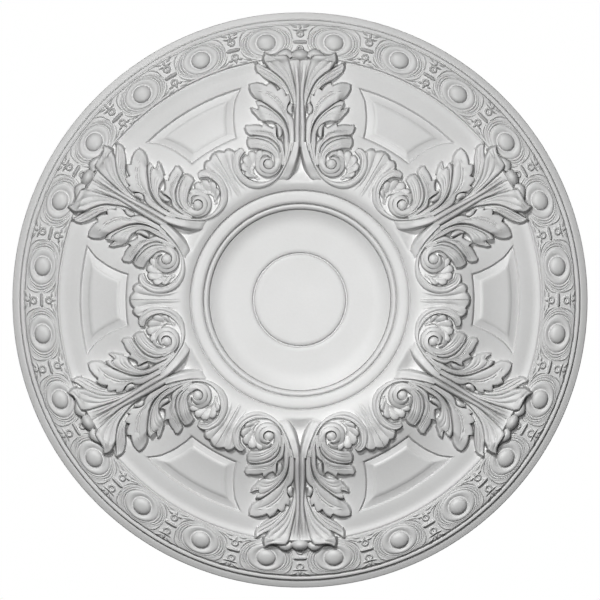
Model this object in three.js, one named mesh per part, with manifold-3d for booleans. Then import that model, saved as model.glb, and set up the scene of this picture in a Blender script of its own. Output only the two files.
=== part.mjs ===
// A round ceiling rose, moulded in one piece: a flat back, a stepped rim, a band of eggs and darts,
// a bell-shaped field with six sunk panels, six acanthus groups with scrolls, and a dished centre.
// Millimetres, +Z up. The back lies on the ceiling at z = 0 and the carved face hangs down.
// The forms are built face up, as heights above the back, and turned over at the end.

import * as THREE from 'three';
import { mergeVertices } from 'three/addons/utils/BufferGeometryUtils.js';
import Module from 'manifold-3d';

const wasm = await Module();
wasm.setup();

// Whole rose
const roseRadius = 600;
const turnSegments = 48;
const groupCount = 6;
const groupAngle = 2 * Math.PI / groupCount;

// Rim: a rounded edge, a slope and two steps, outside in
const edgeHeight = 9;
const slopeInner = 586;
const slopeHeight = 18.5;
const firstStepInner = 583;
const firstStepHeight = 25;
const secondStepOuter = 577;
const secondStepInner = 574;
const secondStepHeight = 31;

// Egg-and-dart band, tilted a little outward, and the sharp edge inside it
const bandOuter = 566;
const bandOuterHeight = 33;
const bandInner = 506;
const bandInnerHeight = 40;
const arrisRadius = 499;
const arrisHeight = 41;

// Field: a bevel down to a flat, then a bell-shaped rise to the crest
const bevelFoot = 476;
const fieldHeight = 36.5;
const crestRadius = 261;
const crestHeight = 78;
const bellSpread = 77;
const bellRadii = [bevelFoot, 400, 345, 303, crestRadius];

// Inside the crest: a shoulder, a rounded ring, a bead, and a dish with a flat seat
const shoulderFoot = 229;
const shoulderFootHeight = 70;
const ringOuter = 225;
const ringTopHeight = 74.5;
const ringInner = 203;
const ringInnerHeight = 66;
const beadRadius = 196;
const beadHeight = 68;
const dishOuter = 190;
const dishEdgeHeight = 62;
const seatRadius = 150;
const seatHeight = 46;
const grooveRadius = 96.7;
const grooveHalfWidth = 4;
const grooveDepth = 4;

// Eggs and darts
const ballSides = 8;
const ballRings = 3;
const pointSides = 4;
const eggCount = 24;
const eggRadius = 540;
const eggSeatHeight = 36;
const eggSize = { across: 22, out: 16.5, high: 14 };
const crownRadius = 556;
const crownSize = { across: 16, out: 11, high: 8 };
const dartRadius = 518;
const dartSize = { across: 10, out: 15, high: 8 };

// Sunk panels between the leaf groups: the half angle they span at their outer, middle and inner arcs
const panelDepth = 4;
const panelArcs = [
  { radius: 461, halfAngle: 0.253 },
  { radius: 410, halfAngle: 0.2 },
  { radius: 359, halfAngle: 0.161 },
];

// Leaf groups: how far the carving stands over the field, and how much more towards its axis
const leafSink = 7;
const axisRise = 9;
const axisRiseWidth = 52;
const axisRiseOuter = 400;
const axisRiseTop = 320;
const axisRiseInner = 240;

// Half of a leaf group as one sheet. Each line across it starts at the axis, or at the gap where the
// stem forks, passes the stem's edge, and ends in a lobe's tip or in the notch between two lobes.
// Places are [sideways, out from the centre], and the lift is the lobe's, over the leaf ground.
const sheetLines = [
  { axis: [0, 500], stem: [9, 500], end: [42, 513], lift: 7 },
  { axis: [0, 470], stem: [9, 470], end: [75, 509], lift: 15 },
  { axis: [0, 445], stem: [10, 445], end: [94, 484], lift: 12 },
  { axis: [0, 424], stem: [11, 424], end: [44, 434], lift: 7 },
  { axis: [0, 400], stem: [13, 400], end: [107, 447], lift: 16 },
  { axis: [0, 372], stem: [16, 372], end: [84, 412], lift: 8 },
  { axis: [0, 350], stem: [19, 350], end: [101, 400], lift: 14 },
  { axis: [0, 335], stem: [21, 335], end: [60, 364], lift: 6 },
  { axis: [1, 320], stem: [24, 320], end: [114, 364], lift: 14 },
  { axis: [6, 304], stem: [29, 300], end: [98, 342], lift: 8 },
  { axis: [14, 286], stem: [36, 280], end: [112, 330], lift: 14 },
  { axis: [26, 266], stem: [46, 262], end: [88, 311], lift: 7 },
];
const axisLift = 13;
const stemLift = 11;

// The scroll's band from the stem round to its rounded end: its outer and inner edges
const scrollPlaces = [
  [[26, 266], [46, 262]],
  [[54, 238], [62, 248]],
  [[84, 230], [84, 241]],
  [[112, 234], [106, 244]],
  [[134, 251], [124, 258]],
  [[142, 280], [131, 280]],
  [[142, 306], [132, 306]],
];
const scrollLift = 10;
const voluteCentre = [64, 281];
const voluteSize = { across: 24, out: 23, high: 14 };
const cockleCentre = [104, 288];
const cockleSize = { across: 22, out: 30, high: 10 };
const budCentre = [0, 508];
const budSize = { across: 34, out: 15, high: 17 };

// Shell fans between the scrolls
const shellOuter = 345;
const shellNotch = 336;
const shellInner = 258;
const shellHalfAngle = 0.15;
const shellInnerHalfAngle = 0.035;
const shellRibs = 5;
const shellLift = [10, 5];

// Height of the plain field at a distance from the centre
function fieldAt(radius) {
  if (radius >= crestRadius) {
    const reach = (radius - crestRadius) / bellSpread;
    return fieldHeight + (crestHeight - fieldHeight) * Math.exp(-reach * reach / 2);
  }
  const inward = (crestRadius - radius) / (crestRadius - shoulderFoot);
  return crestHeight - (crestHeight - shoulderFootHeight) * inward * inward;
}

// Height that carved leaves start from: the band, or the field raised towards a group's axis
function leafGroundAt(sideways, outward) {
  const radius = Math.hypot(sideways, outward);
  const base = radius > bandInner ? bandInnerHeight : fieldAt(Math.max(radius, shoulderFoot));
  const inward = 1 - THREE.MathUtils.smoothstep(radius, axisRiseTop, axisRiseOuter);
  const outwardAgain = THREE.MathUtils.smoothstep(radius, axisRiseInner, axisRiseTop);
  const nearAxis = Math.exp(-((sideways / axisRiseWidth) ** 2));
  return base + axisRise * inward * outwardAgain * nearAxis;
}

// A closed mesh as a solid that can be joined and cut
function solidOf(geometry) {
  geometry.deleteAttribute('normal');
  geometry.deleteAttribute('uv');
  const merged = mergeVertices(geometry, 1e-4);
  const corners = merged.index.array;
  const kept = [];
  for (let i = 0; i < corners.length; i += 3) {
    const [a, b, c] = [corners[i], corners[i + 1], corners[i + 2]];
    if (a !== b && b !== c && c !== a) {
      kept.push(a, b, c);
    }
  }
  return new wasm.Manifold(new wasm.Mesh({
    numProp: 3,
    vertProperties: new Float32Array(merged.attributes.position.array),
    triVerts: new Uint32Array(kept),
  }));
}

// A solid back as a three.js geometry
function geometryOf(solid) {
  const mesh = solid.getMesh();
  const geometry = new THREE.BufferGeometry();
  geometry.setAttribute('position', new THREE.BufferAttribute(new Float32Array(mesh.vertProperties), 3));
  geometry.setIndex(new THREE.BufferAttribute(new Uint32Array(mesh.triVerts), 1));
  return geometry;
}

// A quarter ellipse between two profile points, which leaves the first one level or upright
function quarterCurve(from, to, steps, startsLevel) {
  const points = [];
  for (let i = 0; i <= steps; i += 1) {
    const turn = (Math.PI / 2) * i / steps;
    const quick = Math.sin(turn);
    const slow = 1 - Math.cos(turn);
    const [across, along] = startsLevel ? [quick, slow] : [slow, quick];
    points.push([from[0] + (to[0] - from[0]) * across, from[1] + (to[1] - from[1]) * along]);
  }
  return points;
}

// The turned body: every round moulding in one profile, from the back's centre to the seat's centre
function turnedBody() {
  const profile = [
    [0, 0],
    [roseRadius, 0],
    ...quarterCurve([roseRadius, edgeHeight], [slopeInner, slopeHeight], 2, false),
    [firstStepInner, firstStepHeight],
    [secondStepOuter, firstStepHeight],
    [secondStepInner, secondStepHeight],
    [bandOuter, bandOuterHeight],
    [bandInner, bandInnerHeight],
    [arrisRadius, arrisHeight],
    ...bellRadii.map((radius) => [radius, fieldAt(radius)]),
    [shoulderFoot, shoulderFootHeight],
    ...quarterCurve([ringOuter, ringTopHeight], [ringInner, ringInnerHeight], 2, true),
    [beadRadius, beadHeight],
    ...quarterCurve([dishOuter, dishEdgeHeight], [seatRadius, seatHeight], 2, false),
    [grooveRadius + grooveHalfWidth, seatHeight],
    [grooveRadius, seatHeight - grooveDepth],
    [grooveRadius - grooveHalfWidth, seatHeight],
    [0, seatHeight],
  ];
  const outline = profile.map(([radius, height]) => new THREE.Vector2(radius, height));
  const geometry = new THREE.LatheGeometry(outline, turnSegments);
  geometry.rotateX(Math.PI / 2);
  return solidOf(geometry);
}

// A flattened ball with its middle at the carved ground
function ball(sideways, outward, size, ground) {
  const geometry = new THREE.SphereGeometry(1, ballSides, ballRings);
  geometry.rotateX(Math.PI / 2);
  geometry.scale(size.across, size.out, size.high);
  geometry.translate(sideways, outward, ground);
  return solidOf(geometry);
}

// A four-sided point of a dart, widest at its foot
function point(outward, size, ground) {
  const geometry = new THREE.ConeGeometry(1, 2, pointSides);
  geometry.rotateX(Math.PI / 2);
  geometry.scale(size.across, size.out, size.high);
  geometry.translate(0, outward, ground);
  return solidOf(geometry);
}

// A block whose corners are moved by a rule: place(across -1..1, along 0..1, top or bottom)
function mappedBlock(acrossSteps, alongSteps, place) {
  const geometry = new THREE.BoxGeometry(2, 1, 2, acrossSteps, alongSteps, 1);
  const position = geometry.attributes.position;
  for (let i = 0; i < position.count; i += 1) {
    const spot = place(position.getX(i), position.getY(i) + 0.5, position.getZ(i) > 0);
    position.setXYZ(i, spot[0], spot[1], spot[2]);
  }
  return solidOf(geometry);
}

// A value along a list, with straight runs between its entries
function along(values, t) {
  const place = Math.min(t * (values.length - 1), values.length - 1 - 1e-9);
  const start = Math.floor(place);
  return THREE.MathUtils.lerp(values[start], values[start + 1], place - start);
}

// A point of carving over the leaf ground, or its foot sunk in the body
function carvedPoint([sideways, outward], lift, top) {
  return [sideways, outward, leafGroundAt(sideways, outward) + (top ? lift : -leafSink)];
}

// The sheet of lobes of one half of a leaf group
function lobeSheet() {
  const steps = sheetLines.length - 1;
  return mappedBlock(steps, 3, (across, t, top) => {
    const { axis, stem, end, lift } = sheetLines[Math.round((across + 1) / 2 * steps)];
    const middle = [(stem[0] + end[0]) / 2, (stem[1] + end[1]) / 2];
    const places = [axis, stem, middle, end];
    const lifts = [axisLift, stemLift, lift, lift];
    const place = Math.round(t * 3);
    return carvedPoint(places[place], lifts[place], top);
  });
}

// The scroll's band on one side of a leaf group
function scrollBand() {
  const steps = scrollPlaces.length - 1;
  return mappedBlock(1, steps, (across, t, top) => (
    carvedPoint(scrollPlaces[Math.round(t * steps)][across < 0 ? 1 : 0], scrollLift, top)
  ));
}

// A sunk panel's cutter, from its outer arc to its inner one
function panelCutter() {
  return mappedBlock(2, 2, (across, t, top) => {
    const radius = THREE.MathUtils.lerp(panelArcs[2].radius, panelArcs[0].radius, t);
    const halfAngle = along([panelArcs[2].halfAngle, panelArcs[1].halfAngle, panelArcs[0].halfAngle], t);
    const angle = across * halfAngle;
    const height = fieldAt(radius) + (top ? panelDepth : -panelDepth);
    return [radius * Math.sin(angle), radius * Math.cos(angle), height];
  });
}

// A shell of ribs that widen outward to a scalloped edge
function shell() {
  const steps = shellRibs * 2;
  return mappedBlock(steps, 2, (across, t, top) => {
    const crest = Math.round((across + 1) / 2 * steps) % 2 === 1;
    const outer = crest ? shellOuter : shellNotch;
    const radius = THREE.MathUtils.lerp(shellInner, outer, t);
    const angle = across * THREE.MathUtils.lerp(shellInnerHalfAngle, shellHalfAngle, t);
    const ground = fieldAt(radius);
    const raised = crest ? shellLift[0] : shellLift[1];
    const height = top ? ground + raised : ground - leafSink;
    return [radius * Math.sin(angle), radius * Math.cos(angle), height];
  });
}

// A ball seated in the leaf ground
function seatedBall([sideways, outward], size) {
  return ball(sideways, outward, size, leafGroundAt(sideways, outward));
}

// A leaf group on its axis: both mirrored halves and the bud
function leafGroup() {
  const right = wasm.Manifold.union([
    lobeSheet(),
    scrollBand(),
    seatedBall(voluteCentre, voluteSize),
    seatedBall(cockleCentre, cockleSize),
  ]);
  return wasm.Manifold.union([right, right.mirror([1, 0, 0]), seatedBall(budCentre, budSize)]);
}

// Copies of a solid turned about the centre
function ringOf(solid, count, firstAngle) {
  const copies = [];
  for (let i = 0; i < count; i += 1) {
    copies.push(solid.rotate([0, 0, THREE.MathUtils.radToDeg(firstAngle + i * 2 * Math.PI / count)]));
  }
  return copies;
}

const egg = ball(0, eggRadius, eggSize, eggSeatHeight);
const crown = point(crownRadius, crownSize, bandOuterHeight);
const dart = point(dartRadius, dartSize, bandInnerHeight);
const panels = ringOf(panelCutter(), groupCount, groupAngle / 2);
const sunkBody = wasm.Manifold.difference([turnedBody(), ...panels]);
const carved = wasm.Manifold.union([
  sunkBody,
  ...ringOf(egg, eggCount, Math.PI / eggCount),
  ...ringOf(crown, eggCount, 0),
  ...ringOf(dart, eggCount, 0),
  ...ringOf(shell(), groupCount, groupAngle / 2),
  ...ringOf(leafGroup(), groupCount, 0),
]);

const rose = new THREE.Mesh(
  geometryOf(carved),
  new THREE.MeshStandardMaterial({ color: 0xf1f1ef, roughness: 0.75, metalness: 0 }),
);
rose.name = 'ceiling_rose';
rose.rotation.x = Math.PI;

const group = new THREE.Group();
group.add(rose);

export default group;
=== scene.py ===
# %% [markdown]
# # A moulded ceiling rose
#
# The real object is one light casting, 1.2 m across, fixed flat to a ceiling and seen from below.
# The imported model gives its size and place. This scene dresses it with the fine carving: the
# turned mouldings, an egg-and-dart band, six acanthus groups with scrolls, and six shells.
# Everything is made face up first, as it lies on a bench, and turned over at the end.

# %% Load the frame
import math
import bpy
import bmesh
from mathutils import Matrix, Vector


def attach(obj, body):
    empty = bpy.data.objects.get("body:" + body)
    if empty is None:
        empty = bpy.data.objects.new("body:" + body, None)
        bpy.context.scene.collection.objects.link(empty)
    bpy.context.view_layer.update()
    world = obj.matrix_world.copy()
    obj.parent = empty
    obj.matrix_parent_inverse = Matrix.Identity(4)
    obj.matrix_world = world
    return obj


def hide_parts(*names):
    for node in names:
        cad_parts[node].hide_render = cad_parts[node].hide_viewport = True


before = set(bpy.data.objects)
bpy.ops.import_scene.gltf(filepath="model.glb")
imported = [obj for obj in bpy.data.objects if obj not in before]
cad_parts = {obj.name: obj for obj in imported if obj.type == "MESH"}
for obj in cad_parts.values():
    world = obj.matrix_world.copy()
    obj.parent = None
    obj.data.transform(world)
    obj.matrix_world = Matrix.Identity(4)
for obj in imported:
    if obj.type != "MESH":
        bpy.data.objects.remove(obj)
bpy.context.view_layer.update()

# %% [markdown]
# ## Sizes
#
# The driving sizes are radii from the centre and heights above the back, in metres. The carving
# was drawn over the photograph, so its outlines are in photo pixels from the rose's centre, and
# one named scale turns them into metres. They are drawn for a leaf group that points along +Y.

# %% Driving sizes
MM = 0.001
PIXEL = 2.086 * MM
ROSE_RADIUS = 600 * MM
CREST_RADIUS = 261 * MM
CREST_HEIGHT = 78 * MM
BELL_SPREAD = 77 * MM
FIELD_HEIGHT = 36.5 * MM
SHOULDER_FOOT = 229 * MM
SHOULDER_FOOT_HEIGHT = 70.4 * MM
SHOULDER_POWER = 2.4
BEVEL_START = 466 * MM
BEVEL_FOOT = 489 * MM
BEVEL_DROP = 1.7 * MM
ARRIS_RADIUS = 499 * MM
ARRIS_HEIGHT = 36.9 * MM
BAND_INNER = 506 * MM
BAND_INNER_HEIGHT = 39.5 * MM
BAND_OUTER = 574 * MM
BAND_OUTER_HEIGHT = 31 * MM
GROUPS = 6
HALF_SECTOR = math.radians(30)
print("one photo pixel is", round(PIXEL * 1000, 3), "mm on the rose")

# %% [markdown]
# ## Easing between values
#
# A carved slope starts and ends gently. `smoothstep` is such a slope from 0 to 1, and
# `blend_table` strings several of them together between the values of a table.

# %% Eased steps
def smoothstep(value, low, high):
    share = min(max((value - low) / (high - low), 0.0), 1.0)
    return share * share * (3 - 2 * share)


def blend_table(table, place):
    """A value read from a table of (place, value) pairs, eased between them."""
    for (low, first), (high, second) in zip(table, table[1:]):
        if place <= high:
            return first + (second - first) * smoothstep(place, low, high)
    return table[-1][1]


# %% [markdown]
# ## Where the ground lies
#
# Outside the crest the ground falls like the side of a bell, dips at a bevel, and climbs to the
# arris, a sharp edge inside the egg band. Inside the crest it drops over a shoulder. One formula
# gives the height at any radius, so the ground and the carving on it agree. Under each leaf group
# the ground also swells a little along the middle line.

# %% Heights of the ground
AXIS_RISE = 9 * MM
AXIS_RISE_WIDTH = 52 * MM
AXIS_RISE_START = 240 * MM
AXIS_RISE_TOP = 320 * MM
AXIS_RISE_END = 400 * MM


def field_height(radius):
    if radius > ARRIS_RADIUS:
        share = min(max((radius - BAND_INNER) / (BAND_OUTER - BAND_INNER), 0.0), 1.0)
        return BAND_INNER_HEIGHT + (BAND_OUTER_HEIGHT - BAND_INNER_HEIGHT) * share
    if radius > BEVEL_FOOT:
        share = (radius - BEVEL_FOOT) / (ARRIS_RADIUS - BEVEL_FOOT)
        return field_height(BEVEL_FOOT) * (1 - share) + ARRIS_HEIGHT * share
    if radius >= CREST_RADIUS:
        reach = (radius - CREST_RADIUS) / BELL_SPREAD
        bevel = BEVEL_DROP * max((radius - BEVEL_START) / (BEVEL_FOOT - BEVEL_START), 0)
        return FIELD_HEIGHT + (CREST_HEIGHT - FIELD_HEIGHT) * math.exp(-reach * reach / 2) - bevel
    inward = (CREST_RADIUS - radius) / (CREST_RADIUS - SHOULDER_FOOT)
    return CREST_HEIGHT - (CREST_HEIGHT - SHOULDER_FOOT_HEIGHT) * inward ** SHOULDER_POWER


def leaf_ground(x, y):
    """Height that the leaves spring from: the field with a swelling along each leaf axis."""
    radius = math.hypot(x, y)
    swell = smoothstep(radius, AXIS_RISE_START, AXIS_RISE_TOP)
    swell *= 1 - smoothstep(radius, AXIS_RISE_TOP, AXIS_RISE_END)
    return field_height(radius) + AXIS_RISE * swell * math.exp(-((x / AXIS_RISE_WIDTH) ** 2))


for label, radius in (("crest", CREST_RADIUS), ("bell", 345 * MM), ("field", 450 * MM)):
    print("ground height at the", label, round(field_height(radius) * 1000, 1), "mm")

# %% [markdown]
# ## The white primer
#
# Such roses leave the mould and get one sprayed coat of white primer. It is matt, very slightly
# blotched, and a hair rougher in some places. A plain white would look like plastic in a picture,
# so two sizes of noise shift the tone a little and a fine grain goes into the bump. The sums
# between them are written as Python expressions.

# %% Sockets that can be added and multiplied
class Wire:
    """A shader value: ordinary operators on it add Math nodes."""

    def __init__(self, nodes, socket):
        self.nodes = nodes
        self.socket = socket

    def math(self, operation, other):
        return self.nodes.add("ShaderNodeMath", {"operation": operation}, {0: self, 1: other})

    def __add__(self, other):
        return self.math("ADD", other)

    def __mul__(self, other):
        return self.math("MULTIPLY", other)

    __radd__ = __add__
    __rmul__ = __mul__


# %% [markdown]
# ## Adding nodes
#
# Every other node comes from one method, which takes its kind, its settings and its inputs.

# %% Nodes of a tree
class Nodes:
    """The node tree of a material or a world."""

    def __init__(self, owner):
        owner.use_nodes = True
        self.tree = owner.node_tree

    def start(self, kind):
        return self.tree.nodes[kind].inputs

    def add(self, kind, settings, inputs, output=0):
        node = self.tree.nodes.new(kind)
        for key, value in settings.items():
            setattr(node, key, value)
        for key, value in inputs.items():
            self.feed(node.inputs[key], value)
        return Wire(self, node.outputs[output])

    def feed(self, socket, value):
        if isinstance(value, Wire):
            self.tree.links.new(value.socket, socket)
        else:
            socket.default_value = value


# %% [markdown]
# ## Three sizes of noise
#
# A noise scale counts repeats in a metre, so these are blotches about 110 mm wide, specks of 6 mm
# and a grain of 1 mm. Object coordinates keep them fixed to the piece.

# %% The primer itself
PRIMER_LIGHT = (0.74, 0.74, 0.74, 1)
PRIMER_SHADE = (0.68, 0.68, 0.675, 1)
BLOTCHES = 9.0
SPECKS = 160.0
GRAINS = 900.0
BLOTCH_SHARE = 0.7
ROUGHNESS = 0.46
ROUGHNESS_SPREAD = 0.1
BUMP_STRENGTH = 0.25
BUMP_DEPTH = 0.6 * MM


def primer_material():
    material = bpy.data.materials.new("primed_white")
    nodes = Nodes(material)
    place = nodes.add("ShaderNodeTexCoord", {}, {}, "Object")

    def noise(scale, detail):
        return nodes.add("ShaderNodeTexNoise", {}, {"Vector": place, "Scale": scale, "Detail": detail}, "Fac")

    blotch = noise(BLOTCHES, 3.0)
    speck = noise(SPECKS, 2.0)
    grain = noise(GRAINS, 2.0)
    mixed = blotch * BLOTCH_SHARE + speck * (1 - BLOTCH_SHARE)
    tone = nodes.add(
        "ShaderNodeMix",
        {"data_type": "RGBA"},
        {"Factor": mixed, "A": PRIMER_SHADE, "B": PRIMER_LIGHT},
        "Result",
    )
    bump = nodes.add(
        "ShaderNodeBump",
        {},
        {"Strength": BUMP_STRENGTH, "Distance": BUMP_DEPTH, "Height": grain * 0.5 + speck * 0.5},
        "Normal",
    )
    shader = nodes.start("Principled BSDF")
    nodes.feed(shader["Base Color"], tone)
    nodes.feed(shader["Roughness"], ROUGHNESS + ROUGHNESS_SPREAD * speck)
    nodes.feed(shader["Normal"], bump)
    return material


PRIMER = primer_material()
print("primer has", len(PRIMER.node_tree.nodes), "nodes")

# %% [markdown]
# ## From bench to ceiling
#
# Each piece is finished the same way. Its faces are turned outwards, it is turned round the centre
# to its place, and it is flipped over, because the back of the rose lies against the ceiling.
# All this goes into the mesh, so every object stays at the origin, as the CAD nodes do. Edges
# sharper than a set angle stay crisp and all others are shaded smooth, as sprayed primer is.

# %% Finish a piece
SHARP_ANGLE = math.radians(38)
FACE_DOWN = Matrix.Rotation(math.pi, 4, "X")


def finish_piece(shape, name, turn=0.0):
    bmesh.ops.recalc_face_normals(shape, faces=shape.faces)
    mesh = bpy.data.meshes.new(name)
    shape.to_mesh(mesh)
    mesh.transform(FACE_DOWN @ Matrix.Rotation(turn, 4, "Z"))
    mesh.shade_smooth()
    mesh.set_sharp_from_angle(angle=SHARP_ANGLE)
    mesh.materials.append(PRIMER)
    piece = bpy.data.objects.new(name, mesh)
    bpy.context.scene.collection.objects.link(piece)
    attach(piece, "root")
    triangles = sum(len(face.vertices) - 2 for face in mesh.polygons)
    print(name, "has", triangles, "triangles")
    return piece


# %% [markdown]
# ## Copies round the centre
#
# The rose repeats every 60 degrees and each part of it is mirror-symmetric, so a form is made once
# and copied. A negative scale turns the copy inside out, and finishing a piece puts that right.

# %% Copies
def whole(shape):
    return shape.verts[:] + shape.edges[:] + shape.faces[:]


def verts_in(items):
    return [item for item in items if isinstance(item, bmesh.types.BMVert)]


def add_mirror_copy(shape):
    copy = bmesh.ops.duplicate(shape, geom=whole(shape))["geom"]
    bmesh.ops.scale(shape, vec=(-1, 1, 1), verts=verts_in(copy))


def turn_copies(shape, count):
    """Copies of the whole shape round the centre, `count` with the first."""
    bmesh.ops.spin(shape, geom=whole(shape), axis=(0, 0, 1),
                   angle=2 * math.pi * (count - 1) / count, steps=count - 1, use_duplicate=True)


# %% [markdown]
# ## The turned profile
#
# On the real rose the plain mouldings were turned: one profile swept round the centre. It runs
# from the centre of the dish to the edge and round to the back, and its points are millimetres.
# Quarter rounds and beads are worked out, so they have as many points as they need and no list.

# %% Rounds in a profile
def quarter(start, end, leaving, steps):
    """Points after `start` on a quarter ellipse that leaves it level or upright, up to `end`."""
    points = []
    for step in range(1, steps + 1):
        angle = math.pi / 2 * step / steps
        fast, slow = math.sin(angle), 1 - math.cos(angle)
        along, rise = (fast, slow) if leaving == "level" else (slow, fast)
        points.append((start[0] + (end[0] - start[0]) * along, start[1] + (end[1] - start[1]) * rise))
    return points


def bead(inner, outer, height, steps=8):
    """Points on a half-round bead, from after `inner` up to `outer`."""
    points = []
    for step in range(1, steps + 1):
        angle = math.pi * step / steps
        share = (1 - math.cos(angle)) / 2
        level = inner[1] + (outer[1] - inner[1]) * share
        points.append((inner[0] + (outer[0] - inner[0]) * share, level + height * math.sin(angle)))
    return points


# %% [markdown]
# ## The seat and the dish
#
# The middle is a flat seat for the canopy of a hanging light, with a ring groove round the place
# of the canopy. Round the seat the dish climbs slowly at first and then faster, which a power of
# its width gives. A bead and a rounded ring close it off.

# %% Seat, dish and ring
SEAT_HEIGHT = 46
GROOVE_RADIUS = 96.7
GROOVE_HALF_WIDTH = 3.6
GROOVE_DEPTH = 4.4
GROOVE_STEPS = 5
DISH_FOOT = 148
DISH_EDGE = 187.6
DISH_RISE = 8.4
DISH_POWER = 2.3
DISH_STEPS = 14
BEAD_INNER = (188.8, 55.8)
BEAD_OUTER = (199.6, 58.6)
BEAD_RISE = 4.2
RING_INNER = (200.8, 62.6)
RING_TOP = (220, 68.6)


def seat_and_dish():
    """The flat seat with its ring groove, and the dish wall that steepens towards its edge."""
    points = [(radius, SEAT_HEIGHT) for radius in (0, 32, 64, 86)]
    for step in range(-GROOVE_STEPS, GROOVE_STEPS + 1):
        sunk = GROOVE_DEPTH * (1 + math.cos(math.pi * step / GROOVE_STEPS)) / 2
        points.append((GROOVE_RADIUS + GROOVE_HALF_WIDTH * step / GROOVE_STEPS, SEAT_HEIGHT - sunk))
    points += [(108, SEAT_HEIGHT), (128, SEAT_HEIGHT)]
    for step in range(DISH_STEPS + 1):
        share = step / DISH_STEPS
        radius = DISH_FOOT + (DISH_EDGE - DISH_FOOT) * share
        points.append((radius, SEAT_HEIGHT + DISH_RISE * share ** DISH_POWER))
    return points


def bead_and_ring():
    """From the dish's edge over a bead and the rounded ring to the foot of the shoulder."""
    points = [(188.2, 52.6), BEAD_INNER]
    points += bead(BEAD_INNER, BEAD_OUTER, BEAD_RISE)
    points += [(200.2, 58.2), RING_INNER]
    points += quarter(RING_INNER, (210, 68), "upright", 6)
    points += [(215, 68.8), RING_TOP]
    points += quarter(RING_TOP, (226.6, 65.6), "level", 5)
    return points + [(227.6, 64.6), (228.4, 65.4)]


INSIDE = seat_and_dish() + bead_and_ring()
print("inside the shoulder the profile has", len(INSIDE), "points")

# %% [markdown]
# ## Measures of the sunk panels
#
# Six keystone panels are let into the sloping field. Inside its border a panel drops, climbs back
# in two slopes, and its middle is almost level with the field. The profile needs these measures
# too, because it has a row of points wherever a panel changes slope. The slopes are a little
# wider along a panel's sides and outer arc than along its inner arc.

# %% Panel measures
PANEL_INNER = 359.5 * MM
PANEL_OUTER = 459 * MM
SIDE_SPREAD = 1.2
OUTER_SPREAD = 1.16
PANEL_STEPS = tuple(step * MM for step in (0, 1.2, 2.4, 3.6, 5.4, 8, 12, 14, 15.4, 17, 18.6, 24))
PANEL_SINKS = tuple(
    (place * MM, sink * MM)
    for place, sink in ((0, 0), (3.6, 5.2), (5.4, 4.6), (8, 4.2), (15.4, 2.4), (18.6, 0.2), (30, 0.2))
)
PANEL_SIDES = (
    (359 * MM, 0.154), (376 * MM, 0.16), (405 * MM, 0.18), (434 * MM, 0.211), (459 * MM, 0.257),
)
print("a panel is", round((PANEL_OUTER - PANEL_INNER) / MM, 1), "mm from its inner to its outer arc")

# %% [markdown]
# ## The whole profile
#
# The field's rows lie close together where it bends and far apart where it is straight. The rim
# starts at the arris: a quirk, which is a narrow groove, then the tilted band for the eggs, two
# steps, a chamfer, the upright edge and the flat back.

# %% Profile from centre to back
RIM = (
    (499.8, 36.9), (501, 36.4), (502.2, 35.4), (503.4, 34.8), (504.8, 37.2), (506, 39.3), (517, 38.1),
    (528, 36.75), (539, 35.4), (550, 34), (561, 32.6), (571, 31.4), (572.4, 30.8), (573.6, 27),
    (574.6, 23.8), (575.6, 23.4), (576.8, 25), (578, 25.5), (581, 25.4), (582.6, 24.8), (583.6, 21),
    (584.6, 17), (585.6, 16.4), (586.8, 17.4), (588, 17.4), (592, 16.6), (596, 15.6), (599, 14.6),
    (600, 13), (600, 5), (600, 1), (599, 0), (480, 0), (300, 0), (120, 0), (0, 0),
)


def face_profile():
    radii = [229, 230, 231.2, 232.8, 235, 238, *range(241, 262, 4)]
    radii += [266, 272, 278, *range(285, 349, 7), 354, 357]
    radii += [*range(392, 429, 9), 463, 466, 474, 482, 489, 494, 498.6]
    radii += [PANEL_INNER / MM + step / MM for step in PANEL_STEPS]
    radii += [PANEL_OUTER / MM - OUTER_SPREAD * step / MM for step in PANEL_STEPS]
    field = [(radius * MM, field_height(radius * MM)) for radius in sorted(radii)]
    inside, outside = ([(radius * MM, height * MM) for radius, height in part] for part in (INSIDE, RIM))
    return inside + field + outside


PROFILE = face_profile()
print("the profile has", len(PROFILE), "points")

# %% [markdown]
# ## The ground, with its sunk panels
#
# A boolean cut would leave ragged normals where a panel meets a curved ground, so the ground is
# one grid per half sector instead. Its rows are the profile and its columns lean with the panel's
# sides, so the panel's border lies exactly on grid lines.

# %% Columns of the ground
FLOOR_COLUMNS = 7
WALL_COLUMNS = len(PANEL_STEPS) - 1
OUTER_COLUMNS = 12


def panel_half_angle(radius):
    """Half angle of the panel's border at a radius; it holds its end values beyond the panel."""
    for (first, low), (last, high) in zip(PANEL_SIDES, PANEL_SIDES[1:]):
        if radius <= last:
            return low + (high - low) * max((radius - first) / (last - first), 0)
    return PANEL_SIDES[-1][1]


def column_angle(column, radius):
    """Bearing of a grid column from the panel's middle: floor, then steps of the wall, then field."""
    border = panel_half_angle(radius)
    reach = max(radius, PANEL_INNER)
    if column < FLOOR_COLUMNS:
        return (border - SIDE_SPREAD * PANEL_STEPS[-1] / reach) * column / FLOOR_COLUMNS
    column -= FLOOR_COLUMNS
    if column <= WALL_COLUMNS:
        return border - SIDE_SPREAD * PANEL_STEPS[WALL_COLUMNS - column] / reach
    column -= WALL_COLUMNS
    return border + (HALF_SECTOR - border) * column / OUTER_COLUMNS


print("half a sector has", FLOOR_COLUMNS + WALL_COLUMNS + OUTER_COLUMNS, "columns")

# %% [markdown]
# ## How deep the ground is cut
#
# The depth in a panel depends only on the distance to its nearest border, so its slopes meet in
# straight mitres, as under a chisel. Between the legs of a leaf group the crest is cut away too.

# %% Depth of panels and gaps
GAP_START = 243 * MM
GAP_FLOOR_START = 268 * MM
GAP_FLOOR_HEIGHT = 66 * MM
GAP_HALF_WIDTH = 30 * MM


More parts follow.
